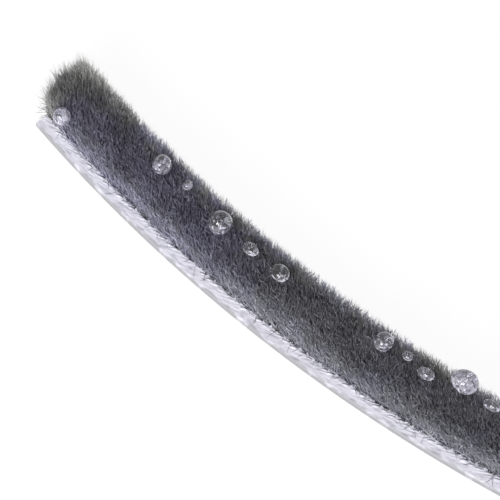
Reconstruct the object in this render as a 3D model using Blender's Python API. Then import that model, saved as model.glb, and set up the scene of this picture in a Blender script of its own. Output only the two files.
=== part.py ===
"""Brush seal strip: a woven tape with a dense pile of fibre tufts standing on it.

The stock lies on the tape's back. Its straight run follows +X, and the stretch before
that is bowed edgewise towards +Y. Each piece is one section swept round the bow and then
along the straight run. Lengths are in metres and +Z is up. The origin is on the tape's
back, on its centreline, halfway along the stock.
"""

import math

import bmesh
import bpy
from mathutils import Vector

# The stock as cut and laid
STOCK_LENGTH = 1.0
BOW_RADIUS = 0.190
BOW_ANGLE = math.radians(30.0)

# The tape, with a bare margin on each side of the pile
TAPE_WIDTH = 0.0090
TAPE_MARGIN = 0.0015
TAPE_THICKNESS = 0.0010
TAPE_EDGE_RADIUS = 0.00025

# The bound edge of the weave, a low rounded ridge along each side of the pile's foot
RIDGE_WIDTH = 0.00060
RIDGE_HEIGHT = 0.00010

# The pile: rows of tufts side by side, which fan out above the tape and are sheared level
PILE_ROWS = 6
PILE_HEIGHT = 0.0060
PILE_FLARE = 0.0005
PILE_FLARE_BEND = 1.5
PILE_SHOULDER_DROP = 0.0014
PILE_SHOULDER_BEND = 3.0
PILE_ROW_GROOVE = 0.00040
PILE_END_LEAN = 0.0003
PILE_SEAT_GAP = 0.0003

# How finely the curves are divided
BOW_STEPS = 20
STRAIGHT_STEPS = 18
EDGE_STEPS = 3
RIDGE_STEPS = 6
WALL_STEPS = 4
STEPS_PER_ROW = 6

SMOOTH_BELOW = math.radians(35.0)

TAPE_COLOUR = (0.72, 0.71, 0.78, 1.0)
TAPE_ROUGHNESS = 0.45
PILE_COLOUR = (0.12, 0.115, 0.14, 1.0)
PILE_ROUGHNESS = 0.95

UP = Vector((0.0, 0.0, 1.0))


def arc(centre, radii, start, end, steps):
    """Points (across, up) along an ellipse's arc, both ends included."""
    turns = [start + (end - start) * i / steps for i in range(steps + 1)]
    return [
        (centre[0] + radii[0] * math.cos(turn), centre[1] + radii[1] * math.sin(turn))
        for turn in turns
    ]


def mirrored(half):
    """Points followed by their mirror images, which makes a closed outline of a half."""
    return half + [(-across, up) for across, up in reversed(half)]


def foot_half_width():
    """Half the width of the pile where it leaves the tape."""
    return TAPE_WIDTH / 2 - TAPE_MARGIN


def tape_outline():
    """The tape's section: rounded long edges, and a ridge beside each foot of the pile."""
    side = TAPE_WIDTH / 2 - TAPE_EDGE_RADIUS
    radii = (TAPE_EDGE_RADIUS, TAPE_EDGE_RADIUS)
    top = TAPE_THICKNESS - TAPE_EDGE_RADIUS
    lower_edge = arc((side, TAPE_EDGE_RADIUS), radii, -math.pi / 2, 0.0, EDGE_STEPS)
    upper_edge = arc((side, top), radii, 0.0, math.pi / 2, EDGE_STEPS)
    ridge_centre = (foot_half_width() + PILE_SEAT_GAP + RIDGE_WIDTH / 2, TAPE_THICKNESS)
    ridge = arc(ridge_centre, (RIDGE_WIDTH / 2, RIDGE_HEIGHT), 0.0, math.pi, RIDGE_STEPS)
    return mirrored(lower_edge + upper_edge + ridge)


def pile_crown(share):
    """A point of the pile's top, from share 1 at one side through 0 in the middle to -1."""
    half_width = foot_half_width() + PILE_FLARE
    drop = PILE_SHOULDER_DROP * abs(share) ** PILE_SHOULDER_BEND
    row = (1 + share) / 2 * PILE_ROWS
    groove = PILE_ROW_GROOVE * (1 - abs(math.sin(math.pi * row)))
    return (half_width * share, TAPE_THICKNESS + PILE_HEIGHT - drop - groove)


def pile_outline():
    """The pile's section: a flat foot, walls that bend outwards, and one lobe for each row."""
    foot = TAPE_THICKNESS + PILE_SEAT_GAP
    shoulder = pile_crown(1)[1]
    wall = [
        (
            foot_half_width() + PILE_FLARE * (i / WALL_STEPS) ** PILE_FLARE_BEND,
            foot + (shoulder - foot) * i / WALL_STEPS,
        )
        for i in range(WALL_STEPS)
    ]
    steps = PILE_ROWS * STEPS_PER_ROW
    crown = [pile_crown(1 - 2 * i / steps) for i in range(steps + 1)]
    return wall + crown + [(-across, up) for across, up in reversed(wall)]


def carry(builder, rim, steps, angle=0.0, step=(0.0, 0.0, 0.0), centre=(0.0, 0.0, 0.0)):
    """Sweeps a rim of edges round an upright axis or straight on, and gives its last rim."""
    swept = bmesh.ops.spin(
        builder,
        geom=rim,
        cent=centre,
        axis=UP,
        angle=angle,
        dvec=step,
        steps=steps,
        use_merge=False,
        use_duplicate=False,
    )
    return [item for item in swept["geom_last"] if isinstance(item, bmesh.types.BMEdge)]


def lean_outwards(rim, outwards, lean):
    """Leans an end so that its highest point overhangs its foot by lean."""
    points = {vertex for edge in rim for vertex in edge.verts}
    foot = min(vertex.co.z for vertex in points)
    height = max(vertex.co.z for vertex in points) - foot
    for vertex in points:
        vertex.co += outwards * lean * (vertex.co.z - foot) / height


def swept_piece(name, outline, end_lean=0.0):
    """The closed solid of a section swept along the whole stock."""
    builder = bmesh.new()
    meeting = BOW_RADIUS * BOW_ANGLE - STOCK_LENGTH / 2
    ring = [builder.verts.new((meeting, across, up)) for across, up in outline]
    rim = [builder.edges.new((ring[i - 1], ring[i])) for i in range(len(ring))]

    bow_centre = (meeting, BOW_RADIUS, 0.0)
    bow_end = carry(builder, rim, BOW_STEPS, angle=-BOW_ANGLE, centre=bow_centre)
    step = Vector(((STOCK_LENGTH / 2 - meeting) / STRAIGHT_STEPS, 0.0, 0.0))
    straight_end = carry(builder, rim, STRAIGHT_STEPS, step=step)

    lean_outwards(bow_end, Vector((-math.cos(BOW_ANGLE), math.sin(BOW_ANGLE), 0.0)), end_lean)
    lean_outwards(straight_end, Vector((1.0, 0.0, 0.0)), end_lean)
    bmesh.ops.contextual_create(builder, geom=bow_end)
    bmesh.ops.contextual_create(builder, geom=straight_end)
    bmesh.ops.recalc_face_normals(builder, faces=builder.faces)

    mesh = bpy.data.meshes.new(name)
    builder.to_mesh(mesh)
    builder.free()
    mesh.shade_smooth()
    mesh.set_sharp_from_angle(angle=SMOOTH_BELOW)
    piece = bpy.data.objects.new(name, mesh)
    bpy.context.scene.collection.objects.link(piece)
    return piece


def finish(piece, colour, roughness):
    """Gives a piece its own material."""
    material = bpy.data.materials.new(piece.name)
    material.use_nodes = True
    shader = material.node_tree.nodes["Principled BSDF"]
    shader.inputs["Base Color"].default_value = colour
    shader.inputs["Roughness"].default_value = roughness
    shader.inputs["Metallic"].default_value = 0.0
    piece.data.materials.append(material)


def main():
    for leftover in list(bpy.data.objects):
        bpy.data.objects.remove(leftover)

    tape = swept_piece("backing_tape", tape_outline())
    finish(tape, TAPE_COLOUR, TAPE_ROUGHNESS)

    pile = swept_piece("pile", pile_outline(), PILE_END_LEAN)
    finish(pile, PILE_COLOUR, PILE_ROUGHNESS)


main()
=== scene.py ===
import math
import random

import bmesh
import bpy
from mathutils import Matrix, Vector, noise


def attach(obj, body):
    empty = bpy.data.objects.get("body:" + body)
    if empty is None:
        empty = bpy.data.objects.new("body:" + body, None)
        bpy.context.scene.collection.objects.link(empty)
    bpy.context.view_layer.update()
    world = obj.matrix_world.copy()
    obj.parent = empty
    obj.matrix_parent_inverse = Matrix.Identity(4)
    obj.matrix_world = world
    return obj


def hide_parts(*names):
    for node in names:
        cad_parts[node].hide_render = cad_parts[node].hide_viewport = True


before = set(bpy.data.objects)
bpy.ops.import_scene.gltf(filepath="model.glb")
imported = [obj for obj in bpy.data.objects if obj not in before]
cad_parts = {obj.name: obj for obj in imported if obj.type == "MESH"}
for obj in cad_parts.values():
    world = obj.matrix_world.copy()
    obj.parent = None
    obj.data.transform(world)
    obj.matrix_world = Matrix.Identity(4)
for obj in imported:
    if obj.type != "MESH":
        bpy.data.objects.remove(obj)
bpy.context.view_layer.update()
mm = 0.001
print("frame loaded, nodes:", ", ".join(sorted(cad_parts)))

# The stock as it lies: a bow at the free end, then straight along +X
stock = {
    "length": 1000 * mm,
    "bowRadius": 190 * mm,
    "bowAngle": math.radians(30),
    "tapeWidth": 9.0 * mm,
    "tapeTop": 1.0 * mm,
    "tapeMargin": 1.5 * mm,
    "pileHeight": 6.0 * mm,
    "pileRows": 6,
    "pitch": 1.05 * mm,  # from one tuft to the next along a row
}
tapeTop = stock["tapeTop"]
pileTop = tapeTop + stock["pileHeight"]
bowRadius = stock["bowRadius"]
bowLength = bowRadius * stock["bowAngle"]
bowEndX = bowLength - stock["length"] / 2
footHalf = stock["tapeWidth"] / 2 - stock["tapeMargin"]
tuftsInRow = int(stock["length"] / stock["pitch"])


def onPath(along, across, up):
    # a point given along the stock from its free end, across it and up, in the frame's axes
    turn = min(0.0, along - bowLength) / bowRadius
    straight = max(0.0, along - bowLength)
    reach = bowRadius - across
    x = bowEndX + straight + reach * math.sin(turn)
    return Vector((x, bowRadius - reach * math.cos(turn), up))


# node trees

class Value:
    # a node's socket that can be reckoned with: each operator adds a Math node
    def __init__(self, graph, socket):
        self.graph = graph
        self.socket = socket

    def __add__(self, other):
        return self.graph.maths("ADD", self, other)

    def __radd__(self, other):
        return self.graph.maths("ADD", other, self)

    def __sub__(self, other):
        return self.graph.maths("SUBTRACT", self, other)

    def __rsub__(self, other):
        return self.graph.maths("SUBTRACT", other, self)

    def __mul__(self, other):
        return self.graph.maths("MULTIPLY", self, other)

    def __rmul__(self, other):
        return self.graph.maths("MULTIPLY", other, self)

    def __truediv__(self, other):
        return self.graph.maths("DIVIDE", self, other)

    def __rtruediv__(self, other):
        return self.graph.maths("DIVIDE", other, self)

    def __pow__(self, other):
        return self.graph.maths("POWER", self, other)

    def __mod__(self, other):
        return self.graph.maths("FLOORED_MODULO", self, other)


class Graph:
    # a node tree of a material, of geometry or of the world
    def __init__(self, tree):
        self.tree = tree

    def pick(self, sockets, key):
        if isinstance(key, int):
            return sockets[key]
        return next(s for s in sockets if s.enabled and s.name == key)

    def node(self, kind, settings=None, sockets=None):
        # the settings come first, because they decide which sockets the node has
        made = self.tree.nodes.new(kind)
        for name, setting in (settings or {}).items():
            setattr(made, name, setting)
        for key, entry in (sockets or {}).items():
            socket = self.pick(made.inputs, key)
            if isinstance(entry, Value):
                self.tree.links.new(entry.socket, socket)
            else:
                socket.default_value = entry
        return made

    def value(self, kind, output, settings=None, sockets=None):
        made = self.node(kind, settings, sockets)
        return Value(self, self.pick(made.outputs, output))

    def maths(self, operation, first, second=0.0):
        sockets = {0: first, 1: second}
        return self.value("ShaderNodeMath", 0, {"operation": operation}, sockets)

    def vector(self, operation, first, second=(0.0, 0.0, 0.0)):
        output = "Value" if operation in ("LENGTH", "DOT_PRODUCT") else "Vector"
        sockets = {0: first, 1: second}
        return self.value("ShaderNodeVectorMath", output, {"operation": operation}, sockets)

    def scaled(self, first, scale):
        sockets = {0: first, "Scale": scale}
        return self.value("ShaderNodeVectorMath", "Vector", {"operation": "SCALE"}, sockets)

    def xyz(self, x, y, z):
        return self.value("ShaderNodeCombineXYZ", 0, None, {0: x, 1: y, 2: z})

    def parts(self, vector):
        made = self.node("ShaderNodeSeparateXYZ", None, {0: vector})
        return [Value(self, made.outputs[i]) for i in range(3)]

    def mixed(self, share, first, second, kind="RGBA"):
        sockets = {"Factor": share, "A": first, "B": second}
        return self.value("ShaderNodeMix", "Result", {"data_type": kind}, sockets)

    def ranged(self, value, low, high, to=(0.0, 1.0), curve="LINEAR"):
        # goes from the first of the two results to the second while the value goes from low to high
        settings = {"clamp": True, "interpolation_type": curve}
        sockets = {"Value": value, "From Min": low, "From Max": high, "To Min": to[0], "To Max": to[1]}
        return self.value("ShaderNodeMapRange", "Result", settings, sockets)

    def place(self):
        return self.value("ShaderNodeTexCoord", "Object")

    def attribute(self, name):
        return self.value("ShaderNodeAttribute", "Fac", {"attribute_name": name})

    def noiseAt(self, vector, scale=1.0, detail=1.0):
        sockets = {"Vector": vector, "Scale": scale, "Detail": detail}
        return self.value("ShaderNodeTexNoise", "Fac", None, sockets)

    def bump(self, height, distance, strength):
        sockets = {"Height": height, "Distance": distance, "Strength": strength}
        return self.value("ShaderNodeBump", "Normal", None, sockets)


# materials
# a range in these dictionaries says where it starts and ends and, if not 0 and 1, what it gives there

def newMaterial(name):
    made = bpy.data.materials.new(name)
    made.use_nodes = True
    return made, Graph(made.node_tree), made.node_tree.nodes["Principled BSDF"]


def drive(graph, shader, name, value):
    graph.tree.links.new(value.socket, shader.inputs[name])


def stripSpace(graph):
    # along, across and up on the stock, reckoned from the object's own coordinates
    x, y, up = graph.parts(graph.place())
    dx = graph.maths("MINIMUM", x - bowEndX, 0.0)
    dy = bowRadius - y
    reach = graph.maths("SQRT", dx * dx + dy * dy)
    across = bowRadius - reach
    turned = graph.maths("ARCTAN2", dx, dy) * bowRadius
    along = turned + graph.maths("MAXIMUM", x - bowEndX, 0.0) + bowLength
    return along, across, up


def inCells(graph, place, sizes):
    # a place measured in cells of the given sizes, for a noise that is longer one way than another
    return graph.xyz(*[value * (1 / size) for value, size in zip(place, sizes)])


fibreLook = {
    "violet": (0.58, 0.56, 0.76, 1.0),
    "grey": (0.58, 0.58, 0.65, 1.0),
    "neutral": (0.605, 0.603, 0.595, 1.0),
    "patchScale": 90.0,
    "blotchScale": 420.0,
    "cloudScale": 330.0,
    # where the violet is, along and across, and how patches and blotches change it
    "violetAlong": (34.0 * mm, 20.0 * mm, (0.18, 1.0)),
    "violetNear": (-2.9 * mm, -1.8 * mm, (0.62, 1.0)),
    "violetFar": (0.4 * mm, 2.8 * mm, (1.0, 0.42)),
    "violetPatches": (0.35, 0.65, (-0.25, 0.25)),
    "violetBlotches": (0.38, 0.62, (-0.24, 0.18)),
    # neutral blotches towards the far side, and the neutral free end, which is cut off at a slant
    "neutralBlotches": (0.48, 0.36),
    "neutralFar": (0.6 * mm, 2.2 * mm),
    "endSlant": 1.2,
    "endAlong": (7.0 * mm, 1.0 * mm),
    "endAcross": (-1.8 * mm, 0.6 * mm),
    "endFace": (2.9 * mm, 1.4 * mm),
    # painted shade: the dark gaps between the feet of the tufts
    "gapShadeSize": (0.9 * mm, 0.9 * mm, 1.0),
    "gapShadeUp": (1.8 * mm, 1.3 * mm),
    "gapShadeNoise": (0.44, 0.58, (0.25, 0.90)),
    # how bright a fibre is: by its own chance, with painted shade from the wall up towards the crown, with
    # painted light at its tip, and in large soft clouds
    "chance": (0.15, 0.85, (0.12, 1.16)),
    "wall": (2.2 * mm, 6.2 * mm, (1.10, 0.88)),
    "litTips": (6.4 * mm, 7.8 * mm, (1.0, 1.7)),
    "clouds": (0.34, 0.66, (0.80, 1.20)),
    # painted shade: the rows inside are darker, as the crown of tips where the light is trapped
    "rowShade": (0.38, 1.08, (0.40, 0.96)),  # the rows at the sides are paler than the ones inside
    "roughness": (0.0, 1.0, (0.60, 0.40)),
    "specular": 0.35,
}


def fibreTint(graph, along, across):
    # violet after the free end, greyer further on, and neutral at the far side of the end
    patches = graph.noiseAt(graph.place(), fibreLook["patchScale"])
    patches = graph.ranged(patches, *fibreLook["violetPatches"])
    blotches = graph.noiseAt(graph.place(), fibreLook["blotchScale"])
    violetPart = graph.ranged(graph.ranged(along, *fibreLook["violetAlong"]) + patches, 0.0, 1.0)
    for side in ("violetNear", "violetFar"):
        violetPart = violetPart * graph.ranged(across, *fibreLook[side])
    violetPart = graph.ranged(violetPart + graph.ranged(blotches, *fibreLook["violetBlotches"]), 0.0, 1.0)
    tint = graph.mixed(violetPart, fibreLook["grey"], fibreLook["violet"])
    farPart = graph.ranged(across, *fibreLook["neutralFar"])
    farPart = graph.ranged(blotches, *fibreLook["neutralBlotches"]) * farPart
    tint = graph.mixed(farPart, tint, fibreLook["neutral"])
    endPart = graph.ranged(along - across * fibreLook["endSlant"], *fibreLook["endAlong"])
    endPart = endPart * graph.ranged(across, *fibreLook["endAcross"])
    endPart = graph.maths("MAXIMUM", endPart, graph.ranged(along, *fibreLook["endFace"]))
    return graph.mixed(endPart, tint, fibreLook["neutral"])


# the painted shade of the rows inside, by the share across
def rowShadeTone(graph, share):
    return graph.ranged(share, *fibreLook["rowShade"], curve="SMOOTHSTEP")


def fibreMaterial():
    made, graph, shader = newMaterial("pileFibre")
    shade = graph.attribute("shade")
    along, across, up = stripSpace(graph)
    # painted shade: the fibres darken low down in the gaps between the feet of the tufts
    gapShade = graph.noiseAt(inCells(graph, (along, across, 0.0), fibreLook["gapShadeSize"]))
    foot = graph.ranged(up, *fibreLook["gapShadeUp"]) * graph.ranged(gapShade, *fibreLook["gapShadeNoise"])
    clouds = graph.noiseAt(graph.place(), fibreLook["cloudScale"], 2.0)
    # the tone carries painted shade on the rows inside and painted light on the tips at the free end and
    # the far side
    value = graph.ranged(shade, *fibreLook["chance"]) * graph.attribute("tone")
    # painted shade darker towards the crown, and painted light that makes the tips above it paler
    value = value * graph.ranged(up, *fibreLook["wall"]) * graph.ranged(up, *fibreLook["litTips"])
    value = value * graph.ranged(clouds, *fibreLook["clouds"])
    drive(graph, shader, "Base Color", graph.scaled(fibreTint(graph, along, across), value * (1 - foot)))
    drive(graph, shader, "Roughness", graph.ranged(shade, *fibreLook["roughness"]))
    shader.inputs["Specular IOR Level"].default_value = fibreLook["specular"]
    return made


# painted shade: the deep inside of the tufts, coloured near-black for the shade that falls there
coreShadeLook = {
    "dark": (0.02, 0.02, 0.024, 1.0),
    "pale": (0.07, 0.068, 0.08, 1.0),
    "grainScale": 2500.0,
    "roughness": 0.95,
}


def coreShadeMaterial():
    made, graph, shader = newMaterial("pileDepthShade")
    grain = graph.noiseAt(graph.place(), coreShadeLook["grainScale"], 2.0)
    drive(graph, shader, "Base Color", graph.mixed(grain, coreShadeLook["dark"], coreShadeLook["pale"]))
    shader.inputs["Roughness"].default_value = coreShadeLook["roughness"]
    return made


bodyLook = {
    "strandSize": (0.11 * mm, 0.11 * mm, 1.5 * mm),
    "clumpScale": 0.22,
    "clumpPart": 0.35,
    "streaks": (0.38, 0.64, (0.06, 0.70)),
    # painted shade: the body darker towards its crown
    "crown": (4.6 * mm, 5.8 * mm, (0.90, 0.42)),
    "relief": 0.16 * mm,
    "roughness": 0.6,
}


def bodyMaterial():
    made, graph, shader = newMaterial("pileBody")
    along, across, up = stripSpace(graph)
    strandAt = inCells(graph, (along, across, up), bodyLook["strandSize"])
    strands = graph.noiseAt(strandAt, 1.0, 2.0)
    clumps = graph.noiseAt(strandAt, bodyLook["clumpScale"])
    streak = strands * (1 - bodyLook["clumpPart"]) + clumps * bodyLook["clumpPart"]
    share = graph.maths("ABSOLUTE", across) * (1 / footHalf)
    # painted shade: darker on the rows inside and towards the crown
    value = graph.ranged(streak, *bodyLook["streaks"]) * rowShadeTone(graph, share)
    value = value * graph.ranged(up, *bodyLook["crown"])
    drive(graph, shader, "Base Color", graph.scaled(fibreTint(graph, along, across), value))
    drive(graph, shader, "Normal", graph.bump(streak, bodyLook["relief"], 1.0))
    shader.inputs["Roughness"].default_value = bodyLook["roughness"]
    return made


tapeLook = {
    "pale": (0.90, 0.89, 0.98, 1.0),
    "dull": (0.55, 0.54, 0.62, 1.0),
    # painted shade: the darker colour of the tape's rounded side
    "side": (0.44, 0.44, 0.47, 1.0),
    "weaveSize": (1.00 * mm, 0.42 * mm, mm / 1.5),
    "weaveSlant": 1.3,
    "streakSize": (6.25 * mm, mm / 5.2, mm / 5.2),  # the fine lengthwise grain
    "streakPart": 0.20,
    "tone": (0.31, 0.55),
    "edge": 0.30 * mm,  # how far in from its edge the tape's darker side begins, and how it wanders
    "edgeFade": 0.24 * mm,
    "edgeBends": (1.8 * mm, 1.8 * mm, 1.0),
    "edgeWander": 0.9 * mm,
    "fleckPitch": 1.05 * mm,  # the slanted flecks of weft beside the pile
    "fleckOut": (0.95 * mm, 0.2 * mm),
    "fleckSlant": 2.2,
    "fleckScale": 0.6,
    "fleckWander": 1.2,
    "fleckTone": 0.10,
    "fleckRelief": 0.25,
    "relief": 0.20 * mm,
    "reliefStrength": 0.6,
    "roughness": (0.3, 0.7, (0.38, 0.56)),
    "specular": 0.5,
}


def tapeMaterial():
    made, graph, shader = newMaterial("tapeWeave")
    along, across, up = stripSpace(graph)
    side = graph.maths("ABSOLUTE", across)
    outBy = side - footHalf
    slanted = along + side * tapeLook["weaveSlant"]
    weaveAt = inCells(graph, (slanted, across, up), tapeLook["weaveSize"])
    weave = graph.noiseAt(weaveAt, 1.0, 2.0)
    streaks = graph.noiseAt(inCells(graph, (along, across, up), tapeLook["streakSize"]), 1.0, 2.0)
    mottle = weave * (1 - tapeLook["streakPart"]) + streaks * tapeLook["streakPart"]
    wander = graph.noiseAt(weaveAt, tapeLook["fleckScale"], 0.0)
    phase = (along + outBy * tapeLook["fleckSlant"]) * (1 / tapeLook["fleckPitch"])
    phase = phase + wander * tapeLook["fleckWander"]
    fleck = graph.maths("SINE", phase * math.tau) * 0.5 + 0.5
    fleck = fleck * graph.ranged(outBy, *tapeLook["fleckOut"])
    toneShare = graph.ranged(mottle + fleck * tapeLook["fleckTone"], *tapeLook["tone"])
    tone = graph.mixed(toneShare, tapeLook["dull"], tapeLook["pale"])
    bends = graph.noiseAt(inCells(graph, (along, across, 0.0), tapeLook["edgeBends"]), 1.0, 2.0)
    edgeSide = side + (bends - 0.5) * tapeLook["edgeWander"]
    edgeAt = stock["tapeWidth"] / 2 - tapeLook["edge"]
    # painted shade: the tape goes darker over its rounded side, along a wandering line
    sideShadePart = graph.ranged(edgeSide, edgeAt, edgeAt + tapeLook["edgeFade"])
    tone = graph.mixed(sideShadePart, tone, tapeLook["side"])
    drive(graph, shader, "Base Color", tone)
    drive(graph, shader, "Roughness", graph.ranged(streaks, *tapeLook["roughness"]))
    height = mottle + fleck * tapeLook["fleckRelief"]
    drive(graph, shader, "Normal", graph.bump(height, tapeLook["relief"], tapeLook["reliefStrength"]))
    shader.inputs["Specular IOR Level"].default_value = tapeLook["specular"]
    return made


loopLook = {
    "dull": (0.58, 0.57, 0.65, 1.0),
    "bright": (0.84, 0.83, 0.92, 1.0),
    # painted shade: the loops darken where they go in under the pile
    "foot": (0.0, 0.20 * mm, (0.40, 1.0)),  # darker where it goes in under the pile
    "roughness": 0.30,
}


def loopMaterial():
    made, graph, shader = newMaterial("weftLoop")
    tone = graph.mixed(graph.attribute("shade"), loopLook["dull"], loopLook["bright"])
    # painted shade towards the pile's foot
    outBy = graph.maths("ABSOLUTE", stripSpace(graph)[1]) - footHalf
    drive(graph, shader, "Base Color", graph.scaled(tone, graph.ranged(outBy, *loopLook["foot"])))
    shader.inputs["Roughness"].default_value = loopLook["roughness"]
    return made


waterLook = {
    # painted light and shade: the side of a bead towards this way is painted clear and milky, the other
    # side dark
    "litFrom": (0.46, -0.74, -0.49),  # towards this side the light gathers
    "deep": (0.12, 0.12, 0.15, 1.0),
    "clear": (0.90, 0.90, 0.96, 1.0),
    "clearing": (-0.6, 0.35),
    "milkClearing": 2.0,
    "rippleScale": 900.0,
    "ripple": 0.10 * mm,
    "rippleStrength": 0.7,
    # painted light: the light that the water gathers and scatters is painted as a milky glow with glinting
    # flecks and clear lines in it
    "paintedBloom": (0.84, 0.82, 0.95, 1.0),
    "bloomShare": (-0.1, 0.8, (0.0, 0.26)),
    "fleckScale": 2800.0,
    "flecks": (0.56, 0.60, (0.0, 0.58)),
    "glintSide": (-0.7, 0.1, (0.3, 1.0)),
    "lineScale": 1200.0,
    "lines": (0.018, 0.055, (0.05, 1.0)),
    "roughness": 0.02,
    "ior": 1.333,
    "coat": 0.8,
}


def waterMaterial():
    made, graph, shader = newMaterial("clearWater")
    ripple = graph.noiseAt(graph.place(), waterLook["rippleScale"])
    bump = graph.bump(ripple, waterLook["ripple"], waterLook["rippleStrength"])
    drive(graph, shader, "Normal", bump)
    shader.inputs["Roughness"].default_value = waterLook["roughness"]
    shader.inputs["IOR"].default_value = waterLook["ior"]
    shader.inputs["Transmission Weight"].default_value = 1.0
    shader.inputs["Coat Weight"].default_value = waterLook["coat"]
    # painted light and shade: clear, milky and flecked towards one fixed side, dark on the other
    normal = graph.value("ShaderNodeNewGeometry", "Normal")
    litFacing = graph.vector("DOT_PRODUCT", normal, waterLook["litFrom"])
    milk = graph.attribute("milk")
    clearing = graph.ranged(litFacing + milk * waterLook["milkClearing"], *waterLook["clearing"])
    drive(graph, shader, "Base Color", graph.mixed(clearing, waterLook["deep"], waterLook["clear"]))
    paintedBloom = graph.node("ShaderNodeBsdfDiffuse", None, {"Color": waterLook["paintedBloom"], "Normal": bump})
    flecks = graph.noiseAt(graph.place(), waterLook["fleckScale"], 2.0)
    lines = graph.maths("ABSOLUTE", graph.noiseAt(graph.place(), waterLook["lineScale"]) - 0.5)
    share = graph.ranged(litFacing, *waterLook["bloomShare"]) + milk
    flecks = graph.ranged(flecks, *waterLook["flecks"])
    share = share + flecks * graph.ranged(litFacing, *waterLook["glintSide"])
    share = share * graph.ranged(lines, *waterLook["lines"])
    both = graph.node("ShaderNodeMixShader", None, {0: share})
    graph.tree.links.new(shader.outputs["BSDF"], both.inputs[1])
    graph.tree.links.new(paintedBloom.outputs["BSDF"], both.inputs[2])
    graph.tree.links.new(both.outputs[0], made.node_tree.nodes["Material Output"].inputs["Surface"])
    return made


fibreFinish = fibreMaterial()
coreShadeFinish = coreShadeMaterial()
bodyFinish = bodyMaterial()
tapeFinish = tapeMaterial()
loopFinish = loopMaterial()
waterFinish = waterMaterial()
print("materials ready")


# meshes and trees

def addObject(name, mesh):
    made = bpy.data.objects.new(name, mesh)
    bpy.context.scene.collection.objects.link(made)
    return made


def skin(builder, rings):
    # faces from each ring of corners to the next
    for low, high in zip(rings, rings[1:]):
        for k in range(len(low)):
            m = (k + 1) % len(low)
            builder.faces.new((low[k], low[m], high[m], high[k]))


def pointed(builder, ring, tip):
    corner = builder.verts.new(tip)
    for k in range(len(ring)):
        builder.faces.new((ring[k], ring[(k + 1) % len(ring)], corner))


def closedMesh(name, builder):
    # the mesh of what was built, with its faces outwards
    bmesh.ops.recalc_face_normals(builder, faces=builder.faces)
    mesh = bpy.data.meshes.new(name)
    builder.to_mesh(mesh)
    builder.free()
    return mesh


def mirrored(half):
    # a closed outline (across, up) of its half with across above 0, which may end on the middle
    return half + [(-across, up) for across, up in reversed(half) if across > 0]


threeWays = [2 * math.pi * k / 3 for k in range(3)]


def spindle(name, rings):
    # a thin three-sided shape from z 0 to z 1, closed in a point where no ring closes it
    builder = bmesh.new()
    hoops = [
        [builder.verts.new((radius * math.cos(turn), radius * math.sin(turn), rise)) for turn in threeWays]
        for rise, radius in rings
    ]
    if rings[0][0] > 0:
        pointed(builder, hoops[0], (0, 0, 0))
    else:
        builder.faces.new(hoops[0])
    skin(builder, hoops)
    pointed(builder, hoops[-1], (0, 0, 1))
    return closedMesh(name, builder)


socketKinds = {int: "NodeSocketInt", float: "NodeSocketFloat", type(None): "NodeSocketMaterial"}


def newTree(name, inputs):
    # a geometry tree with the geometry first and then named inputs, each with its default
    tree = bpy.data.node_groups.new(name, "GeometryNodeTree")
    tree.interface.new_socket("Geometry", in_out="INPUT", socket_type="NodeSocketGeometry")
    for title, default in inputs.items():
        kind = socketKinds[type(default)]
        socket = tree.interface.new_socket(title, in_out="INPUT", socket_type=kind)
        if default is not None:
            socket.default_value = default
    tree.interface.new_socket("Geometry", in_out="OUTPUT", socket_type="NodeSocketGeometry")
    graph = Graph(tree)
    entry = graph.node("NodeGroupInput")
    given = {s.name: Value(graph, s) for s in entry.outputs if s.name}
    return tree, graph, given


def runTree(name, mesh, tree, settings):
    # runs a tree on a mesh and gives the plain mesh that comes out
    source = addObject(name + "Source", mesh)
    modifier = source.modifiers.new("nodes", "NODES")
    modifier.node_group = tree
    for item in tree.interface.items_tree:
        if item.in_out == "INPUT" and item.name in settings:
            modifier[item.identifier] = settings[item.name]
    source.update_tag()
    evaluated = source.evaluated_get(bpy.context.evaluated_depsgraph_get())
    result = bpy.data.meshes.new_from_object(evaluated)
    source.modifiers.remove(modifier)
    bpy.data.objects.remove(source)
    result.name = name
    return addObject(name, result)


def randomOf(graph, seedValue, low, high, ident):
    # a random vector or number between low and high, the same wherever the ident is
    kind = "FLOAT_VECTOR" if isinstance(low, tuple) else "FLOAT"
    sockets = {"Min": low, "Max": high, "ID": ident, "Seed": seedValue}
    return graph.value("FunctionNodeRandomValue", "Value", {"data_type": kind}, sockets)


def stored(graph, geometry, name, field, kind="FLOAT"):
    settings = {"data_type": kind, "domain": "POINT"}
    sockets = {"Geometry": geometry, "Name": name, "Value": field}
    return graph.value("GeometryNodeStoreNamedAttribute", "Geometry", settings, sockets)


def recalled(graph, name, kind="FLOAT"):
    settings = {"data_type": kind}
    return graph.value("GeometryNodeInputNamedAttribute", "Attribute", settings, {"Name": name})


def instanced(graph, points, shape, turned, size):
    sockets = {"Points": points, "Instance": shape, "Rotation": turned, "Scale": size}
    return graph.value("GeometryNodeInstanceOnPoints", 0, None, sockets)


def ontoPath(graph, geometry, point):
    # moves points given along, across and up onto the stock as it lies
    along, across, up = graph.parts(point)
    turn = graph.maths("MINIMUM", along - bowLength, 0.0) / bowRadius
    straight = graph.maths("MAXIMUM", along - bowLength, 0.0)
    reach = bowRadius - across
    x = reach * graph.maths("SINE", turn) + straight + bowEndX
    y = bowRadius - reach * graph.maths("COSINE", turn)
    sockets = {"Geometry": geometry, "Position": graph.xyz(x, y, up)}
    return graph.value("GeometryNodeSetPosition", 0, None, sockets)


def ending(graph, geometry, material):
    # the last nodes of every tree: smooth, give the material and hand over
    sockets = {"Geometry": geometry, "Shade Smooth": True}
    smooth = graph.value("GeometryNodeSetShadeSmooth", "Geometry", None, sockets)
    sockets = {"Geometry": smooth, "Material": material}
    done = graph.value("GeometryNodeSetMaterial", "Geometry", None, sockets)
    leave = graph.node("NodeGroupOutput")
    graph.tree.links.new(done.socket, leave.inputs[0])


# the pile

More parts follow.
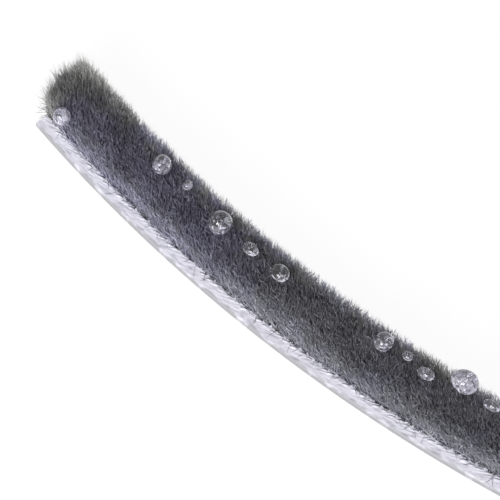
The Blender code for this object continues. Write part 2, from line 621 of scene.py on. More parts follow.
pile = {
    "fineTufts": 69,  # the tufts along the free end that get their full count of fibres
    "midTufts": 80,  # and those after them, on the way to the plainer rest
    "endTufts": 2,
    "haloTufts": 7,
    "lastTufts": 20,  # the far end's finer tufts, and those of them at its very end
    "lastEndTufts": 4,
    "clump": 6,  # fibres that cling to each other at their tips, and the same for the plainer ones
    "plainClump": 2,
    "fade": 14,  # over so many tufts one kind gives way to the next
    "nearFlare": 0.40 * mm,  # how far the tips stand out past the foot on the two sides
    "farFlare": 0.85 * mm,
    "shoulderDrop": 1.5 * mm,
    "shoulderBend": 3.0,
    "seed": 11,
}
fineLength = pile["fineTufts"] * stock["pitch"]

# Shares across the pile go from -1 at the near side to 1 at the far side
cutEnd = {
    "reach": 3.2 * mm,  # so far from a cut end its tufts still lean out
    "inset": 0.28,  # how far in from the cut the last roots stand, in cells
    "rootSpread": (0.8, 0.5, (0.6, 1.0)),
    "lean": 1.15 * mm,  # how far the tips lean out, by their share across, and how much of it is chance
    "leanNear": (-0.75, -0.05, (-0.25, 0.50)),
    "leanMiddle": (0.05, 0.30, (0.0, -0.38)),
    "leanFar": (0.32, 0.46, (0.0, 0.84)),
    "leanLeast": 0.6,
    "leanChance": 0.8,
    "crowding": 0.7,
    "rise": -0.20 * mm,  # how much taller the far side's tips stand, at the free end and at the far end
    "farRise": 0.30 * mm,
    "riseAcross": (0.25, 0.5),
    "nearCorner": (-0.3, -0.9, (0.0, 0.9)),  # how much of the flare the corners of the free end lose
    "farCorner": (0.6, 0.9, (0.0, 0.6)),
    "wall": (10.0 * mm, 3.0 * mm),  # the near wall beside the free end: more contrast, and darker above
    "wallContrast": (-0.7, -0.9, (0.5, 1.0)),
    "wallDarker": (-0.9, -0.6, (0.0, 0.10)),
    # painted light: the tips at the free end paler towards the far side, as thin tips that the light shines
    # through
    "endLitPaler": (0.1, 1.0, (0.0, 0.9)),
}
fibre = {
    # how far a tuft, its clump and the fibre itself wander, in cells of the weave
    "wanderAlong": (0.30, 1.00, 0.85),
    "wanderAcross": (0.30, 1.20, 0.90),
    "rootAlong": 0.38,
    "rootAcross": 0.90,
    "widest": 0.99,  # the share across that no tip goes past, and how much of it is chance
    "widestChance": 0.07,
    "splayBend": 2.0,
    "clumpSunk": 0.5,
    # how the tips tilt: held back and pulled in at the sides, and less up than sideways
    "tiltSides": (0.75, 1.0),
    "tiltHeld": 0.6,
    "tiltInwards": 0.15,
    "tiltUp": 0.4,
    "bulgeAlong": (0.26, 0.10),  # how far the fibre and its clump bulge in their middle, in mm
    "bulgeAcross": (0.20, -0.10),  # the fibre's, and the one that follows its share across
    "thicknessChance": 0.35,
    # how bright by chance, for the rows inside and for the ones at the sides
    "sides": (0.6, 1.0),
    "contrast": (0.76, 0.42),
    "base": (0.29, 0.22),
    "tuftShade": (0.14, 0.05),
    "clumpShade": (-0.44, -0.22),
    "fibreShade": (0.15, 0.32),
    "tipShade": 0.16,
    # painted light: the tips paler towards the far side, as thin tips that the light shines through
    "farLitPaler": (0.40, 1.0, (1.0, 1.72)),
    "palest": 1.65,
}
mostClumps = 64  # more than any tuft has, so that each clump has a number of its own
allWays = ((-1, -1, -1), (1, 1, 1))
tipWays = ((-1, -1, 0), (1, 1, 1))
tiltWays = ((-1, -1, -1), (1, 1, 0.2))


def fibreTree():
    tree, graph, given = newTree("pileFibres", {
        "First Tuft": 0, "Tufts Along": 10, "First Row": 0, "Row Step": 1, "Row Count": 6,
        "Fibres": 20, "Clump": pile["clump"], "Radius": 0.05 * mm, "Start": 0.0, "Lift": 0.0, "Spread": 1.0,
        "Tilt": 0.0, "Bright": 0.0, "Fade In": -99, "Fade Out": 9999, "Material": None, "Seed": 1,
    })
    rows = stock["pileRows"]
    pitch = stock["pitch"]
    seedValue = given["Seed"]

    index = graph.value("GeometryNodeInputIndex", 0)
    tuft = graph.maths("FLOOR", index / given["Fibres"])
    row = tuft % given["Row Count"] * given["Row Step"] + given["First Row"]
    step = graph.maths("FLOOR", tuft / given["Row Count"]) + given["First Tuft"]
    tuftIdent = step * rows + row
    clumpIdent = tuftIdent * mostClumps + graph.maths("FLOOR", index % given["Fibres"] / given["Clump"])
    tx, ty, tz = graph.parts(randomOf(graph, seedValue, *allWays, tuftIdent))
    cx, cy, cz = graph.parts(randomOf(graph, seedValue + 1, *tipWays, clumpIdent))
    fx, fy, fz = graph.parts(randomOf(graph, seedValue + 2, *allWays, index))
    px, py, pz = graph.parts(randomOf(graph, seedValue + 3, *tipWays, index))

    # the root, in a thin bundle in the middle of its cell of the weave
    share = (row + 0.5) * (2 / rows) - 1
    inset = cutEnd["inset"] * pitch
    tuftAlong = graph.maths("MAXIMUM", (step + 0.5 + row % 2 * 0.5) * pitch, inset)
    tuftAlong = graph.maths("MINIMUM", tuftAlong, stock["length"] - inset)
    fromEnd = graph.maths("MAXIMUM", 1 - tuftAlong / cutEnd["reach"], 0.0)
    fromFarEnd = graph.maths("MAXIMUM", 1 - (stock["length"] - tuftAlong) / cutEnd["reach"], 0.0)
    rootSpread = graph.ranged(fromEnd + fromFarEnd, *cutEnd["rootSpread"])
    rootAlong = tuftAlong + fx * (fibre["rootAlong"] * pitch) * rootSpread
    rootAcross = (share + fy * (fibre["rootAcross"] / rows)) * footHalf
    root = graph.xyz(rootAlong, rootAcross, tapeTop)

    # where across the tip is, pulled to the tip of its clump
    byTuft, byClump, byFibre = fibre["wanderAcross"]
    tipShare = share + (ty * byTuft + cy * byClump + py * byFibre) * (1 / rows)
    widest = fibre["widest"] + pz * fibre["widestChance"]
    shareSize = graph.maths("MINIMUM", graph.maths("ABSOLUTE", tipShare), widest)
    side = graph.maths("SIGN", tipShare)
    tipShare = side * shareSize

    # where along it is, leaning out at a cut end
    lean = graph.ranged(tipShare, *cutEnd["leanNear"]) + graph.ranged(tipShare, *cutEnd["leanMiddle"])
    lean = (lean + graph.ranged(tipShare, *cutEnd["leanFar"])) * cutEnd["lean"]
    lean = (fromFarEnd * fromFarEnd - fromEnd * fromEnd) * lean
    byTuft, byClump, byFibre = fibre["wanderAlong"]
    wander = (tx * byTuft + cx * byClump + px * byFibre) * pitch
    wander = wander * (1 - (fromEnd + fromFarEnd) * cutEnd["crowding"])
    tipAlong = tuftAlong + wander + lean * (cutEnd["leanLeast"] + pz * cutEnd["leanChance"])

    # how high it is, and how far the walls splay out there
    rise = fromEnd * cutEnd["rise"] + fromFarEnd * cutEnd["farRise"]
    rise = rise * graph.ranged(tipShare, *cutEnd["riseAcross"])
    drop = (shareSize ** pile["shoulderBend"]) * pile["shoulderDrop"]
    sunk = (cz * fibre["clumpSunk"] + pz * pz) * given["Spread"] * mm
    tipUp = pileTop - drop - sunk + given["Lift"] * mm + rise
    shoulder = pileTop - pile["shoulderDrop"]
    flare = graph.ranged(tipShare, -0.5, 0.5, (pile["nearFlare"], pile["farFlare"]))
    corners = graph.ranged(tipShare, *cutEnd["nearCorner"]) + graph.ranged(tipShare, *cutEnd["farCorner"])
    splay = flare * (shareSize ** fibre["splayBend"]) * (1 - corners * fromEnd)
    splay = splay * graph.ranged(tipUp, tapeTop, shoulder)
    tip = graph.xyz(tipAlong, tipShare * footHalf + side * splay, tipUp)

    # its tilt, then the whole fibre from where it starts
    start = graph.mixed(given["Start"], root, tip, "VECTOR")
    wx, wy, wz = graph.parts(randomOf(graph, seedValue + 5, *tiltWays, index))
    outwards = side * graph.ranged(shareSize, *fibre["tiltSides"])
    wy = wy * (1 - graph.maths("ABSOLUTE", outwards) * fibre["tiltHeld"]) - outwards * fibre["tiltInwards"]
    tilted = graph.scaled(graph.xyz(wx, wy, wz * fibre["tiltUp"]), given["Tilt"] * mm)
    run = graph.vector("SUBTRACT", graph.vector("ADD", tip, tilted), start)
    spin = graph.value("FunctionNodeEulerToRotation", 0, None, {0: graph.xyz(0.0, 0.0, fz * math.pi)})
    sockets = {"Rotation": spin, "Vector": run}
    aim = graph.value("FunctionNodeAlignRotationToVector", 0, {"axis": "Z"}, sockets)
    byFibre, byClump = fibre["bulgeAlong"]
    bulgeAlong = (fx * byFibre + cx * byClump) * mm
    byFibre, byShare = fibre["bulgeAcross"]
    bulge = graph.xyz(bulgeAlong, (tipShare * byShare + fy * byFibre) * mm, 0.0)

    def sided(name):
        return graph.ranged(shareSize, *fibre["sides"], fibre[name])

    # how bright it is by chance, and how its place changes its tone: painted shade on the rows inside, and
    # painted light that makes the tips paler at the free end and on the far side
    nearEnd = graph.ranged(tuftAlong, *cutEnd["wall"])
    chance = cz * sided("clumpShade") + fz * sided("fibreShade") - pz * fibre["tipShade"]
    chance = chance + tz * sided("tuftShade") + sided("base")
    contrast = sided("contrast") * (1 + nearEnd * graph.ranged(tipShare, *cutEnd["wallContrast"]))
    shade = chance * contrast + 0.5 + given["Bright"]
    shade = shade - nearEnd * graph.ranged(tipShare, *cutEnd["wallDarker"])
    tone = rowShadeTone(graph, shareSize) + fromEnd * graph.ranged(tipShare, *cutEnd["endLitPaler"])
    tone = graph.maths("MINIMUM", tone * graph.ranged(tipShare, *fibre["farLitPaler"]), fibre["palest"])

    # the share of the clumps that this kind leaves out where another takes over
    fadeIn = graph.ranged(step, given["Fade In"], given["Fade In"] + pile["fade"])
    fadeOut = graph.ranged(step, given["Fade Out"] + pile["fade"], given["Fade Out"])
    lot = randomOf(graph, seedValue + 4, 0.0, 1.0, clumpIdent)
    gone = graph.maths("GREATER_THAN", lot, fadeIn * fadeOut)

    count = given["Fibres"] * given["Row Count"] * given["Tufts Along"]
    points = graph.value("GeometryNodePoints", 0, None, {"Count": count, "Position": start})
    points = stored(graph, points, "bulge", bulge, "FLOAT_VECTOR")
    for name, field in (("shade", shade), ("tone", tone), ("gone", gone)):
        points = stored(graph, points, name, field)
    place = graph.value("GeometryNodeInputPosition", 0)
    shape = stored(graph, given["Geometry"], "rise", graph.parts(place)[2])
    radius = given["Radius"] * (1 + fx * fibre["thicknessChance"])
    size = graph.xyz(radius, radius, graph.vector("LENGTH", run))
    fibres = instanced(graph, points, shape, aim, size)
    sockets = {"Geometry": fibres, "Selection": recalled(graph, "gone")}
    fibres = graph.value("GeometryNodeDeleteGeometry", 0, {"domain": "INSTANCE"}, sockets)
    fibres = graph.value("GeometryNodeRealizeInstances", 0, None, {0: fibres})
    up = recalled(graph, "rise")
    bulged = graph.scaled(recalled(graph, "bulge", "FLOAT_VECTOR"), up * (1 - up) * 4)
    fibres = ontoPath(graph, fibres, graph.vector("ADD", place, bulged))
    for name in ("rise", "bulge", "gone"):
        fibres = graph.value("GeometryNodeRemoveAttribute", 0, None, {"Geometry": fibres, "Name": name})
    ending(graph, fibres, given["Material"])
    return tree


pileTree = fibreTree()
fibreShapes = {
    "long": spindle("longFibre", [(0.0, 1.0), (0.45, 0.95)]),
    "short": spindle("shortFibre", [(0.72, 1.0)]),  # for the rows inside, where only the tips show
    "plain": spindle("plainFibre", [(0.0, 1.0)]),  # for the rest, where the body hides the lower part
}
# first row, step and count
lastRow = stock["pileRows"] - 1
nearRow = (0, 1, 1)
farRow = (lastRow, 1, 1)
outerRows = (0, lastRow, 2)
innerRows = (1, 1, lastRow - 1)
allRows = (0, 1, lastRow + 1)
alternateRows = (0, 1, 4)
# first tuft, the one after the last, and the tufts where the kind sets in and gives way
always = -99
never = 9999
halfFade = pile["fade"] // 2
fineEnd = pile["fineTufts"]
midEnd = fineEnd + pile["midTufts"]
lastStart = tuftsInRow - pile["lastTufts"]
lastEnd = tuftsInRow - pile["lastEndTufts"]
atEnd = (-1, pile["endTufts"], always, never)
halo = (-1, pile["haloTufts"], always, -1)
fine = (-1, fineEnd + halfFade, always, fineEnd - halfFade)
fineLater = (pile["endTufts"], *fine[1:])
mid = (fineEnd - halfFade, midEnd + halfFade, fineEnd - halfFade, midEnd - halfFade)
rest = (midEnd - halfFade, tuftsInRow, midEnd - halfFade, never)
last = (lastStart, lastEnd, lastStart - halfFade, never)
atLast = (lastEnd, tuftsInRow + 1, always, never)
# shape, rows and tufts, then fibres in a tuft, radius in mm, how far up its root the fibre starts,
# lift, spread and tilt of the tips in mm, and how much brighter it is
figureNames = ("Fibres", "Radius", "Start", "Lift", "Spread", "Tilt", "Bright")
pileRuns = {
    "pileFineNear": ("long", nearRow, fine, 98, 0.050, 0.0, 0.20, 1.0, 0.3, 0.0),
    "pileFineFar": ("long", farRow, fine, 100, 0.050, 0.0, 0.45, 1.2, 0.5, 0.0),
    "pileEndTufts": ("long", innerRows, atEnd, 120, 0.050, 0.0, 0.20, 1.0, 0.3, 0.0),
    "pileFineInner": ("short", innerRows, fineLater, 100, 0.050, 0.4, 0.15, 1.2, 0.4, 0.0),
    "pileWisps": ("long", allRows, fine, 24, 0.026, 0.4, 1.15, 1.2, 0.5, 0.05),
    # painted light: the halo runs and the end wisps are made brighter, as thin tips that the light shines
    # through
    "pileHalo": ("short", allRows, halo, 50, 0.020, 0.4, 0.80, 1.5, 0.9, 0.35),
    "pileFarHalo": ("short", farRow, halo, 120, 0.021, 0.4, 1.35, 1.8, 1.1, 0.50),
    "pileEndHalo": ("short", allRows, atEnd, 78, 0.018, 0.4, 1.50, 2.2, 1.7, 0.60),
    "pileEndWisps": ("short", alternateRows, atEnd, 34, 0.014, 0.4, 1.9, 2.2, 1.4, 0.55),
    "pileNearLocks": ("short", nearRow, fine, 40, 0.050, 0.2, 0.15, 2.2, 0.9, 0.08),
    "pileNearStrands": ("long", nearRow, fine, 13, 0.052, 0.0, -0.25, 2.6, 2.2, 0.30),
    "pileTopLocks": ("short", allRows, fine, 20, 0.050, 0.66, 0.40, 1.0, 0.8, 0.24),
    "pileMidOuter": ("plain", outerRows, mid, 48, 0.080, 0.15, 0.25, 1.1, 0.3, 0.0),
    "pileMidInner": ("plain", innerRows, mid, 34, 0.110, 0.6, 0.20, 1.0, 0.5, -0.07),
    "pileRestOuter": ("plain", outerRows, rest, 18, 0.085, 0.25, 0.15, 0.9, 0.3, -0.04),
    "pileRestInner": ("plain", innerRows, rest, 9, 0.150, 0.7, 0.20, 0.6, 0.5, -0.08),
    "pileLastOuter": ("long", outerRows, last, 60, 0.055, 0.0, 0.35, 1.2, 0.4, 0.0),
    "pileLastInner": ("short", innerRows, last, 70, 0.055, 0.4, 0.25, 1.2, 0.6, 0.0),
    "pileLastTufts": ("long", allRows, atLast, 90, 0.050, 0.0, 0.25, 1.1, 0.4, 0.0),
}
for name, (shape, rowsTaken, tuftsTaken, *figures) in pileRuns.items():
    firstTuft, endTuft, fadeIn, fadeOut = tuftsTaken
    settings = dict(zip(figureNames, figures))
    settings.update(zip(("First Row", "Row Step", "Row Count"), rowsTaken))
    settings.update({
        "First Tuft": firstTuft, "Tufts Along": endTuft - firstTuft, "Fade In": fadeIn, "Fade Out": fadeOut,
        "Clump": pile["plainClump"] if shape == "plain" else pile["clump"],
        "Radius": settings["Radius"] * mm, "Material": fibreFinish, "Seed": pile["seed"] + len(name),
    })
    run = runTree(name, fibreShapes[shape].copy(), pileTree, settings)
    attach(run, "root")
    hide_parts("pile")
    print(name, len(run.data.polygons), "faces")

core = {
    # the deep part of the tufts, behind the fibres of the free end
    "side": 0.35 * mm,
    "depth": 1.9 * mm,
    # how far in from its side and down from its top the corners of its shoulder are
    "shoulders": ((0.0, 1.3 * mm), (0.5 * mm, 0.4 * mm), (1.4 * mm, 0.0)),
    "end": 0.5 * mm,
    "steps": 40,
    "seat": 0.02 * mm,
    # the body of the plainer tufts, just under their outermost fibres
    "bodyIn": 0.20 * mm,
    "bodyDepth": 0.70 * mm,
    "bodySteps": 30,
    "bodyEnd": 4.5 * mm,
    "wallSteps": 5,
    "wallBend": 1.6,
    "stepsPerRow": 4,
    "groove": 0.07 * mm,
    "overlap": 8.0 * mm,  # how far the body reaches in under the free end's fibres
    "rise": 16.0 * mm,  # the length over which it comes up there, and how deep and narrow it is at first
    "riseSteps": 8,
    "sunk": 0.35,
    "narrowed": 0.1,
}


def sweep(name, outline, stations, sunk):
    # a closed solid of an outline (across, up) carried along the stock, sunk at both its ends
    builder = bmesh.new()
    rings = []
    for along in stations:
        grown = min(1.0, (along - stations[0]) / core["rise"], (stations[-1] - along) / core["rise"])
        height = 1 - sunk * (1 - grown) ** 2
        width = 1 - core["narrowed"] * (1 - height)
        ring = []
        for across, up in outline:
            raised = tapeTop + (up - tapeTop) * height
            ring.append(builder.verts.new(onPath(along, across * width, raised)))
        rings.append(ring)
    skin(builder, rings)
    builder.faces.new(rings[0])
    builder.faces.new(rings[-1])
    return closedMesh(name, builder)


def coreOutline():
    # what the eye reaches between the fibres: the bundled lower part of the tufts, coloured near-black as
    # painted shade
    high = pileTop - core["depth"]
    wide = footHalf - core["side"]
    half = [(wide, tapeTop + core["seat"])]
    return mirrored(half + [(wide - inBy, high - down) for inBy, down in core["shoulders"]])


def bodyOutline():
    # the tufts' own outer form: walls that bend out, and a crown with one lobe for each row
    low = tapeTop + core["seat"]
    top = pileTop - core["bodyDepth"]
    wallHeight = top - pile["shoulderDrop"] - low
    foot = footHalf - core["bodyIn"]
    half = []
    for k in range(core["wallSteps"]):
        share = k / core["wallSteps"]
        half.append((foot + pile["nearFlare"] * share ** core["wallBend"], low + wallHeight * share))
    crownSteps = stock["pileRows"] * core["stepsPerRow"]
    for k in range(crownSteps // 2 + 1):
        share = 1 - 2 * k / crownSteps
        groove = core["groove"] * (1 - abs(math.sin(math.pi * (1 + share) / 2 * stock["pileRows"])))
        drop = pile["shoulderDrop"] * share ** pile["shoulderBend"]
        half.append(((foot + pile["nearFlare"]) * share, top - drop - groove))
    return mirrored(half)


def bowStations(first, steps):
    # places along the stock from the first one to the end of the bow
    return [first + (bowLength - first) * i / steps for i in range(steps + 1)]


coreStations = bowStations(core["end"], core["steps"])
bodyStations = bowStations(fineLength - core["overlap"], core["bodySteps"])
for i in range(core["riseSteps"] + 1):
    bodyStations.append(stock["length"] - core["bodyEnd"] - core["rise"] * (1 - i / core["riseSteps"]))
pileCores = {
    "pileCore": (coreOutline(), coreStations, 0.0, coreShadeFinish),
    "pileBody": (bodyOutline(), bodyStations, core["sunk"], bodyFinish),
}
for name, (outline, stations, sunk, finish) in pileCores.items():
    inside = addObject(name, sweep(name, outline, stations, sunk))
    inside.data.materials.append(finish)
    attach(inside, "root")
    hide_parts("pile")
    print(name, len(inside.data.polygons), "faces")


# the tape

band = {
    "edge": 0.26 * mm,  # the radius of its long edges
    "edgeSteps": 8,
    "under": 0.3 * mm,  # how far its open face goes in under the pile
    "faceSteps": 12,
    "swell": 0.07 * mm,  # how much thicker the weave is towards the pile's foot
    "swellBend": 1.5,
    "fineStep": 0.30 * mm,
    "fineExtra": 4.0 * mm,
    "coarseStep": 6.0 * mm,
    # how uneven its face and its edges are, and the size of one dent along, slanted and across
    "dent": 0.035 * mm,
    "dentSize": (1.1 * mm, 0.9 * mm, 0.55 * mm),
    "fineDent": 0.35,
    "fineDentScale": 2.3,
    "backFade": 0.5 * mm,
    "faceFrom": 0.9 * mm,
    "edgeFrom": 1.2 * mm,
    "edgeDent": 0.8,
    "seed": 31.7,
}


def bandOutline():
    # half of the section: the flat back, a rounded edge, and a face that swells towards the foot
    halfWidth = stock["tapeWidth"] / 2
    middle = tapeTop / 2
    half = [(halfWidth - band["edge"], 0.0)]
    for k in range(1, band["edgeSteps"]):
        turn = math.pi * (k / band["edgeSteps"] - 0.5)
        out = halfWidth - band["edge"] * (1 - math.cos(turn))
        rise = middle - band["edge"] * (1 - abs(math.sin(turn)))
        half.append((out, middle + math.copysign(rise, turn)))
    for k in range(band["faceSteps"] + 1):
        share = k / band["faceSteps"]
        inBy = band["edge"] + (stock["tapeMargin"] + band["under"] - band["edge"]) * share
        half.append((halfWidth - inBy, tapeTop + band["swell"] * share ** band["swellBend"]))
    return mirrored(half)


def bandStations():
    fineCount = int((fineLength + band["fineExtra"]) / band["fineStep"])
    coarseCount = int((stock["length"] - fineCount * band["fineStep"]) / band["coarseStep"])
    places = [k * band["fineStep"] for k in range(fineCount)]
    left = stock["length"] - places[-1]
    return places + [places[-1] + left * (k + 1) / coarseCount for k in range(coarseCount)]


def dented(along, across, up):
    # a point of the band, moved out and up by the unevenness of the weave
    side = abs(across) - footHalf
    sizeAlong, sizeSlant, sizeAcross = band["dentSize"]
    spot = Vector((along / sizeAlong + side / sizeSlant, across / sizeAcross, band["seed"]))
    fineDent = noise.noise(spot * band["fineDentScale"]) * band["fineDent"]
    dent = noise.noise(spot) * (1 - band["fineDent"]) + fineDent
    shift = band["dent"] * dent * min(1.0, up / band["backFade"])
    if side > band["edgeFrom"]:
        across += math.copysign(shift, across) * band["edgeDent"]
    return onPath(along, across, up + shift if up > band["faceFrom"] else up)


def wovenBand():
    builder = bmesh.new()
    outline = bandOutline()
    rings = [[builder.verts.new(dented(along, *corner)) for corner in outline] for along in bandStations()]
    skin(builder, rings)
    builder.faces.new(rings[0])
    builder.faces.new(rings[-1])
    mesh = closedMesh("wovenBand", builder)
    mesh.shade_smooth()
    mesh.set_sharp_from_angle(angle=math.radians(60))
    mesh.materials.append(tapeFinish)
    return addObject("wovenBand", mesh)


bandPiece = wovenBand()
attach(bandPiece, "root")
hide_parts("backing_tape")
print("woven band", len(bandPiece.data.polygons), "faces")

loops = {
    "length": 0.56 * mm,  # half of a loop's size along, across and up
    "width": 0.20 * mm,
    "height": 0.12 * mm,
    "slant": math.radians(20),
    "place": 0.18 * mm,  # out from the pile's foot
    # how far chance moves a loop along, across and up, turns it and changes its size
    "wander": (0.16 * mm, 0.10 * mm, 0.02 * mm),
    "turn": 0.12,
    "grown": 0.82,
    "grownChance": 0.26,
    "sizeChance": (0.14, 0.2, 0.3),
    "end": (3.0 * mm, 14.0 * mm, (0.7, 1.0)),  # smaller at the free end
    "seed": 5,
}


def loopTree():
    tree, graph, given = newTree("weftLoops", {"Count": 10, "Material": None, "Seed": 1})
    index = graph.value("GeometryNodeInputIndex", 0)
    side = index % 2 * 2 - 1
    step = graph.maths("FLOOR", index / 2)
    jx, jy, jz = graph.parts(randomOf(graph, given["Seed"], *allWays, index))
    wanderAlong, wanderAcross, wanderUp = loops["wander"]
    along = (step + 0.5) * stock["pitch"] + jx * wanderAlong
    across = side * (footHalf + loops["place"] + jy * wanderAcross)
    spot = graph.xyz(along, across, tapeTop + jz * wanderUp)
    turn = graph.xyz(0.0, 0.0, side * -loops["slant"] + jz * loops["turn"])
    turned = graph.value("FunctionNodeEulerToRotation", 0, None, {0: turn})
    grown = (loops["grown"] + jz * loops["grownChance"]) * graph.ranged(along, *loops["end"])
    longer, wider, higher = loops["sizeChance"]
    width = loops["width"] * (grown + jx * wider)
    height = loops["height"] * (grown + jy * higher)
    size = graph.xyz(loops["length"] * (1 + jz * longer), width, height)
    points = graph.value("GeometryNodePoints", 0, None, {"Count": given["Count"] * 2, "Position": spot})
    points = stored(graph, points, "shade", jz * 0.5 + 0.5)
    made = instanced(graph, points, given["Geometry"], turned, size)
    made = graph.value("GeometryNodeRealizeInstances", 0, None, {0: made})
    made = ontoPath(graph, made, graph.value("GeometryNodeInputPosition", 0))
    ending(graph, made, given["Material"])
    return tree


def ball(name, segments, rings):
    builder = bmesh.new()
    bmesh.ops.create_uvsphere(builder, u_segments=segments, v_segments=rings, radius=1.0)
    return closedMesh(name, builder)


weftLoops = runTree("weftLoops", ball("loop", 6, 3), loopTree(), {
    "Count": tuftsInRow, "Material": loopFinish, "Seed": loops["seed"],
})
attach(weftLoops, "root")
print("weft loops", len(weftLoops.data.polygons), "faces")


# fibres that stray over the tape's margin

strays = {
    "count": 260,
    "fineCount": 46,
    "nearShare": 0.7,  # of the fine ones, the share that lies on the near margin
    "radius": 0.022 * mm,
    "endRadius": 1.3,  # and how much thicker the ones at the free end are
    "steps": 4,
    # how far each reaches out, slides along and stands up, in mm
    "reach": (0.5, 1.7),
    "slide": (-1.3, 1.3),
    "slideBend": 1.4,
    "lift": (0.05, 0.5),
    "root": 0.25 * mm,  # how far in from the foot it starts, and how high above the tape
    "rootUp": 0.35 * mm,
    "clear": 0.03 * mm,
    "sag": 0.5,
    "seed": 23,
    # at the free end: where each starts along, across and up, and how far it goes out, across and up, in mm
    "endOnes": (
        (0.5, -2.7, 3.6, 0.9, -0.9, 0.9), (0.5, -2.9, 2.8, 1.3, -0.9, 0.3),
        (0.4, -2.9, 2.2, 1.1, -1.2, 0.1), (0.5, -2.6, 4.1, 1.2, -0.7, 1.0),
        (0.7, -3.0, 1.8, 0.9, -1.1, -0.2), (0.5, -2.8, 3.1, 0.6, -1.4, 0.6),
        (0.4, -2.4, 4.4, 1.4, -0.4, 1.2), (0.5, -1.4, 5.2, 1.2, 0.2, 1.5),
        (0.6, -0.4, 5.8, 1.0, 0.6, 1.4), (0.8, -3.0, 2.6, 0.5, -1.2, 0.2),
    ),
    "attributes": {"shade": 0.45, "tone": 0.75},
}


def tube(builder, points, radius):
    # a closed three-sided tube through points, pointed at its far end
    hoops = []
    for point, following in zip(points, points[1:]):
        ahead = (following - point).normalized()
        sideways = ahead.cross(Vector((0, 0, 1))).normalized()
        above = sideways.cross(ahead)
        ways = [math.cos(turn) * sideways + math.sin(turn) * above for turn in threeWays]
        hoops.append([builder.verts.new(point + radius * way) for way in ways])
    builder.faces.new(hoops[0])
    skin(builder, hoops)
    pointed(builder, hoops[-1], points[-1])


def strayFibres():
    chance = random.Random(strays["seed"])
    builder = bmesh.new()
    shares = [k / strays["steps"] for k in range(strays["steps"] + 1)]
    for i in range(strays["count"]):
        longest = fineLength if i < strays["fineCount"] else stock["length"] - 1.0 * mm
        along = chance.uniform(1.0 * mm, longest)
        side = -1 if i < strays["fineCount"] * strays["nearShare"] else chance.choice((-1, 1))
        reach = chance.uniform(*strays["reach"]) * mm
        slide = chance.uniform(*strays["slide"]) * mm
        lift = chance.uniform(*strays["lift"]) * mm
        points = []
        for t in shares:
            up = strays["clear"] + (strays["rootUp"] + lift) * (1 - t) ** 2 + lift * t * (1 - t)
            across = side * (footHalf - strays["root"] + reach * t)
            points.append(onPath(along + slide * t ** strays["slideBend"], across, tapeTop + up))
        tube(builder, points, strays["radius"])
    for along, across, up, outAlong, outAcross, rise in strays["endOnes"]:
        points = []
        for t in shares:
            upNow = up + rise * t - strays["sag"] * t * t
            points.append(onPath((along - outAlong * t) * mm, (across + outAcross * t) * mm, upNow * mm))
        tube(builder, points, strays["radius"] * strays["endRadius"])
    mesh = closedMesh("strayFibres", builder)
    for name, value in strays["attributes"].items():
        attribute = mesh.attributes.new(name, "FLOAT", "POINT")
        attribute.data.foreach_set("value", [value] * len(mesh.vertices))
    mesh.materials.append(fibreFinish)
    mesh.shade_smooth()
    return addObject("strayFibres", mesh)


strayPiece = strayFibres()
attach(strayPiece, "root")
print("stray fibres", len(strayPiece.data.polygons), "faces")


# water standing in beads on the tips of the pile

beads = {
    # in mm, where each bead's middle lies along and across and its half sizes along, across and up, and
    # last how milky it is, which is how much painted light it gets
    "list": (
        (3.5, -3.4, 1.03, 0.99, 1.05, 0.34), (16.2, 0.6, 1.12, 1.10, 1.42, 0.06),
        (19.9, 1.2, 0.59, 0.63, 0.55, 0.02), (26.2, 0.2, 1.35, 1.39, 1.45, -0.01),
        (30.8, 0.4, 1.05, 0.72, 0.60, 0.0), (35.3, 0.3, 1.24, 1.02, 0.86, -0.20),
        (49.8, 1.0, 1.07, 1.11, 1.05, 0.03), (52.9, 1.3, 0.67, 0.51, 0.50, 0.05),
        (55.9, 0.6, 1.08, 0.68, 0.70, 0.04), (60.1, 2.3, 1.63, 1.35, 1.40, 0.21),
        (64.1, 1.5, 1.05, 0.58, 0.58, 0.06),
    ),
    "proud": 0.62,  # how far the middle stands above the tips, as a share of the half size
    "crownHalf": 3.6,  # half of the pile's width at its tips, in mm, and how far past it a bead may sink
    "crownMost": 1.3,
    "uneven": 0.035,
    "waves": 5,
    "waveReach": 2.5,
    "wavePhase": 6.28,
    "seed": 3,
}


def wave(chance):
    reach = beads["waveReach"]
    way = Vector([chance.uniform(-reach, reach) for _ in range(3)])
    return way, chance.uniform(0, beads["wavePhase"])


def waterBeads():
    chance = random.Random(beads["seed"])
    builder = bmesh.new()
    milk = []
    for along, across, halfAlong, halfAcross, halfUp, milky in beads["list"]:
        share = min(beads["crownMost"], abs(across) / beads["crownHalf"])
        crown = pileTop - pile["shoulderDrop"] * share ** pile["shoulderBend"]
        middle = Vector((along * mm, across * mm, crown + beads["proud"] * halfUp * mm))
        waves = [wave(chance) for _ in range(beads["waves"])]
        grown = bmesh.ops.create_icosphere(builder, subdivisions=4, radius=1.0)
        milk += [milky] * len(grown["verts"])
        for corner in grown["verts"]:
            out = corner.co.normalized()
            swell = 1 + beads["uneven"] * sum(math.sin(way.dot(out) + start) for way, start in waves) / 2
            spot = Vector((out.x * halfAlong, out.y * halfAcross, out.z * halfUp)) * (swell * mm) + middle
            corner.co = onPath(spot.x, spot.y, spot.z)
    mesh = closedMesh("waterBeads", builder)
    attribute = mesh.attributes.new("milk", "FLOAT", "POINT")
    attribute.data.foreach_set("value", milk)
    mesh.shade_smooth()
    mesh.materials.append(waterFinish)
    return addObject("waterBeads", mesh)


beadPiece = waterBeads()
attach(beadPiece, "root")
print("water beads", len(beadPiece.data.polygons), "faces")


# camera and light

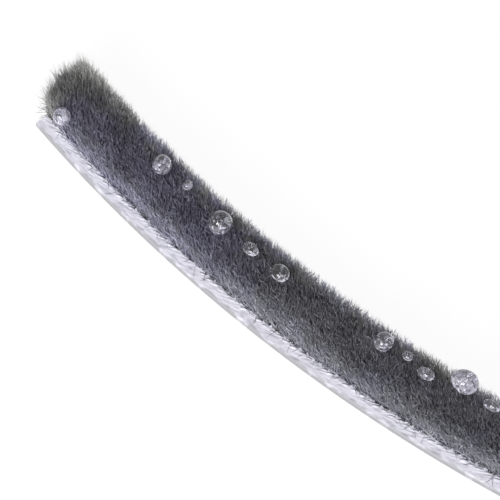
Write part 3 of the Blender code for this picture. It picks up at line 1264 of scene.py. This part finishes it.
view = {
    "azimuth": math.radians(22.444),
    "elevation": math.radians(62.0),
    "distance": 900 * mm,
    "field": 500 / 8.8341 * mm,  # what the frame's width takes in at the middle of the view
    "endRight": -20.831 * mm,  # where the middle of the free end shows, from the middle of the view
    "endAway": 18.669 * mm,
    "sensor": 36.0,
}
light = {
    "sunStrength": 2.5,
    "sunAngle": math.radians(28),
    "sunFrom": (-0.6, -1.0, 0.82),  # to the right, away and up, as the camera sees it
    "world": 0.45,  # the light on the object, and what is added where the world itself is seen
    "worldSeen": 0.55,
    "floorColour": (0.09, 0.09, 0.09, 1.0),
    "floorGlow": 0.25,
    "floorSeen": 0.68,
    "floorHalf": 12.0,
    "floorDown": 0.02 * mm,
}
right = Vector((math.cos(view["azimuth"]), math.sin(view["azimuth"]), 0))
away = Vector((-math.sin(view["azimuth"]), math.cos(view["azimuth"]), 0))
upwards = Vector((0, 0, 1))
target = onPath(0, 0, 0) - right * view["endRight"] - away * view["endAway"]
back = -away * math.cos(view["elevation"]) + upwards * math.sin(view["elevation"])
cameraData = bpy.data.cameras.new("camera")
cameraData.sensor_width = view["sensor"]
cameraData.lens = view["sensor"] * view["distance"] / view["field"]
cameraData.clip_start = 0.01
cameraData.clip_end = 50
camera = addObject("camera", cameraData)
camera.location = target + back * view["distance"]
camera.rotation_mode = "QUATERNION"
camera.rotation_quaternion = (-back).to_track_quat("-Z", "Y")
bpy.context.scene.camera = camera

sun = bpy.data.lights.new("key", "SUN")
sun.energy = light["sunStrength"]
sun.angle = light["sunAngle"]
sunLamp = addObject("key", sun)
sunRight, sunAway, sunUp = light["sunFrom"]
sunFrom = right * sunRight + away * sunAway + upwards * sunUp
sunLamp.rotation_mode = "QUATERNION"
sunLamp.rotation_quaternion = (-sunFrom).to_track_quat("-Z", "Y")


def seenDirectly(graph):
    # 1 where the camera sees a thing, also in or through another, and 0 where it only gives light
    rays = graph.node("ShaderNodeLightPath").outputs
    seen = Value(graph, rays["Is Camera Ray"])
    for kind in ("Is Transmission Ray", "Is Glossy Ray"):
        seen = graph.maths("MAXIMUM", seen, Value(graph, rays[kind]))
    return seen


world = bpy.data.worlds.new("studio")
bpy.context.scene.world = world
world.use_nodes = True
worldGraph = Graph(world.node_tree)
background = world.node_tree.nodes["Background"]
background.inputs["Color"].default_value = (1.0, 1.0, 1.0, 1.0)
drive(worldGraph, background, "Strength", seenDirectly(worldGraph) * light["worldSeen"] + light["world"])

floorHalf = light["floorHalf"]
floorCorners = [(x * floorHalf, y * floorHalf, 0) for x, y in ((-1, -1), (1, -1), (1, 1), (-1, 1))]
floorMesh = bpy.data.meshes.new("floor")
floorMesh.from_pydata(floorCorners, [], [(0, 1, 2, 3)])
floor = addObject("floor", floorMesh)
floor.location.z = -light["floorDown"]
floorMaterial = bpy.data.materials.new("paleFloor")
floorMaterial.use_nodes = True
floorMaterial.node_tree.nodes.clear()
floorGraph = Graph(floorMaterial.node_tree)
glowing = seenDirectly(floorGraph) * light["floorSeen"] + light["floorGlow"]
matt = floorGraph.value("ShaderNodeBsdfDiffuse", 0, None, {"Color": light["floorColour"]})
glow = floorGraph.value("ShaderNodeEmission", 0, None, {"Color": (1.0, 1.0, 1.0, 1.0), "Strength": glowing})
both = floorGraph.value("ShaderNodeAddShader", 0, None, {0: matt, 1: glow})
floorGraph.node("ShaderNodeOutputMaterial", None, {"Surface": both})
floorMesh.materials.append(floorMaterial)

bpy.context.scene.view_settings.view_transform = "Standard"
print("camera and light ready")
